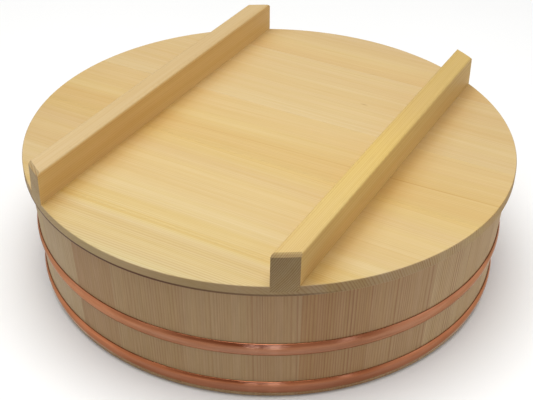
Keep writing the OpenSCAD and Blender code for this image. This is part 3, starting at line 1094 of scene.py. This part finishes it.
def card_mesh(name, middle):
    """The places where mirrored lines of sight meet the card, for angles round the hoop and t across
    it; the normal leans up by atan(2 swell t / half height) less the wall's lean. The card is level,
    and beyond its far end it stands upright."""
    angle, t = np.meshgrid(np.radians(np.linspace(-150, 0, 151)), np.linspace(-0.9, 2.1, 61), indexing="ij")
    radial = np.stack([np.cos(angle), np.sin(angle), 0 * t], -1)
    lean = np.arctan(4 * hoop_swell * t / hoop_h) - math.atan((rim_r - base_r) / tub_h)
    normal = radial * np.cos(lean)[..., None] + np.array([0, 0, 1]) * np.sin(lean)[..., None]
    start = (wall_r(middle) + hoop_t + hoop_swell) * radial + np.array([0, 0, middle])
    sight = start - cam_place
    sight /= np.linalg.norm(sight, axis=-1, keepdims=True)
    way = sight - 2 * (sight * normal).sum(-1, keepdims=True) * normal
    way /= np.hypot(way[..., 0], way[..., 1])[..., None]
    reach = np.minimum((card_z - middle) / np.minimum(way[..., 2], -0.01), card_far)
    number = np.arange(angle.size).reshape(angle.shape)
    card = settle(name, start + way * reach[..., None], faces_of_grid(number))
    store(card, "mirrored", np.degrees(angle).ravel(), t.ravel(), 0 * t.ravel())
    return card


def glow_material(name, look):
    """A black material that glows in the colour that the look adds beside its shader."""
    material, shader = new_material(name)
    fill(shader, {"Emission Color": look(shader), "Emission Strength": 1, "Base Color": (0, 0, 0, 1),
                  "Specular IOR Level": 0})
    return material


def lit_room(shader):
    """The white table up to its edge, the brown dark room behind it, and the gaps. The angle is in
    degrees round the tub, and t is the height on the hoop's face that mirrors a point of the card."""
    angle, t, _ = parts_of(mark(shader, "mirrored"))
    table = ramp_of(
        angle, (-150, 0.45), (-132, 0.55), (-128, 0.7), (-121, 0.85), (-115, 1), (-103, 1), (-96, 0.9),
        (-91, 0.88), (-88, 0.74), (-74, 0.78), (-70, 0.66), (-66, 0.68), (-57, 0.76), (-50, 0.66), (-40, 0.7),
        (-28, 0.8), (-18, 0.85), (0, 0.83))
    table = reckon("MULTIPLY", table, ramp_of(t, (-1, 0.9), (-0.3, 0.86), (0, 0.98), (1, 1)))
    table = put(table, "CombineColor", {part: table for part in range(3)}).outputs[0]
    room = ramp_of(
        angle, (-150, 0.5), (-132, 0.7), (-128, 0.9), (-110, 0.85), (-98, 0.75), (-93, 0.55), (-85, 0.6),
        (-80, 0.22), (-75, 0.18), (-70, 0.12), (-66, 0.1), (-64, 0.05), (-62.5, 0), (-61, 0.1), (-59, 0.3),
        (-57, 0.38), (-52, 0.4), (-48, 0.34), (-40, 0.38), (-37, 0.46), (-33, 0.7), (-28, 0.95), (0, 0.95))
    room = blended(room, (0.17, 0.06, 0.01, 1), (1, 1, 1, 1))
    light = blended(remap(t, 0.42, 0.62, 0, 1, smooth=True), table, room)
    warmth = ramp_of(angle, (-150, 0), (-115, 0), (-102, 1), (-42, 1), (-28, 0), (0, 0))
    light = dyed(light, (1.05, 0.97, 0.87, 1), reckon("MULTIPLY", remap(t, 0.1, 0.4, 0, 1), warmth))
    gaps = ramp_of(
        angle, (-66, 0), (-64.9, 0), (-64.8, 1), (-64.3, 1), (-64.2, 0), (-61.1, 0), (-60.9, 0.75),
        (-59.7, 0.75), (-59.5, 0), (-46, 0), (-45, 0.2), (-43.8, 0.2), (-42.8, 0), (-40, 0))
    streak = blended(ramp_of(t, (0.3, 0), (0.6, 0.9), (0.75, 1), (0.95, 0.6), (2.1, 0.6)),
                     (0.1, 0.12, 0.15, 1), (3, 4, 5.6, 1))
    return blended(1, light, dyed(gaps, streak), "ADD")


def plain_card(shader):
    """A plain glow, seen only in mirrored light, that gets a little darker away from the tub."""
    away = length_of(put(shader, "TexCoord").outputs["Object"])
    return blended(remap(away, 0.4, 1, 0, 1, smooth=True), (0.8, 0.8, 0.8, 1), (0.5, 0.5, 0.5, 1))


front_card = card_mesh("card_in_front", hoop_heights["hoop_upper"])
give(front_card, glow_material("lit_room", lit_room))
wide_card = level_sheet("card_all_round", card_z - 5 * MM)
give(wide_card, glow_material("plain_card", plain_card))
floor.visible_glossy = False
for card in (front_card, wide_card):
    card.visible_camera = False
    card.visible_diffuse = False
    card.visible_shadow = False
print("cards", len(front_card.data.polygons), len(wide_card.data.polygons))


# %% [markdown]
# ## Light
#
# The photograph was lit softly, mostly from above, in a pale room. So one large area light hangs over
# the tub, two weak ones fill in from the sides, and a dim even world stands for the room.

# %% Hang the lights
def soft_light(name, place, side, power):
    """A square area light that looks at the middle of the tub."""
    light = bpy.data.lights.new(name, "AREA")
    light.shape = "SQUARE"
    light.size = side
    light.energy = power
    lamp = show(name, light)
    turn = (Vector(place) - Vector((0, 0, 0.1))).to_track_quat("Z", "Y")
    lamp.matrix_world = Matrix.Translation(place) @ turn.to_matrix().to_4x4()
    lamp.visible_camera = False


soft_light("key_above", (-0.04, -0.16, 2.5), 2, 60)
soft_light("fill_right", (1.6, 0.35, 0.9), 1.2, 3)
soft_light("fill_left", (-1.5, -0.9, 0.7), 1, 2)

world = bpy.data.worlds.new("room")
world.use_nodes = True
fill(world.node_tree.nodes["Background"], {"Color": (1, 1, 1, 1), "Strength": 0.35})
bpy.context.scene.world = world
bpy.context.scene.view_settings.view_transform = "Standard"
print("lights", [lamp.name for lamp in bpy.data.lights])
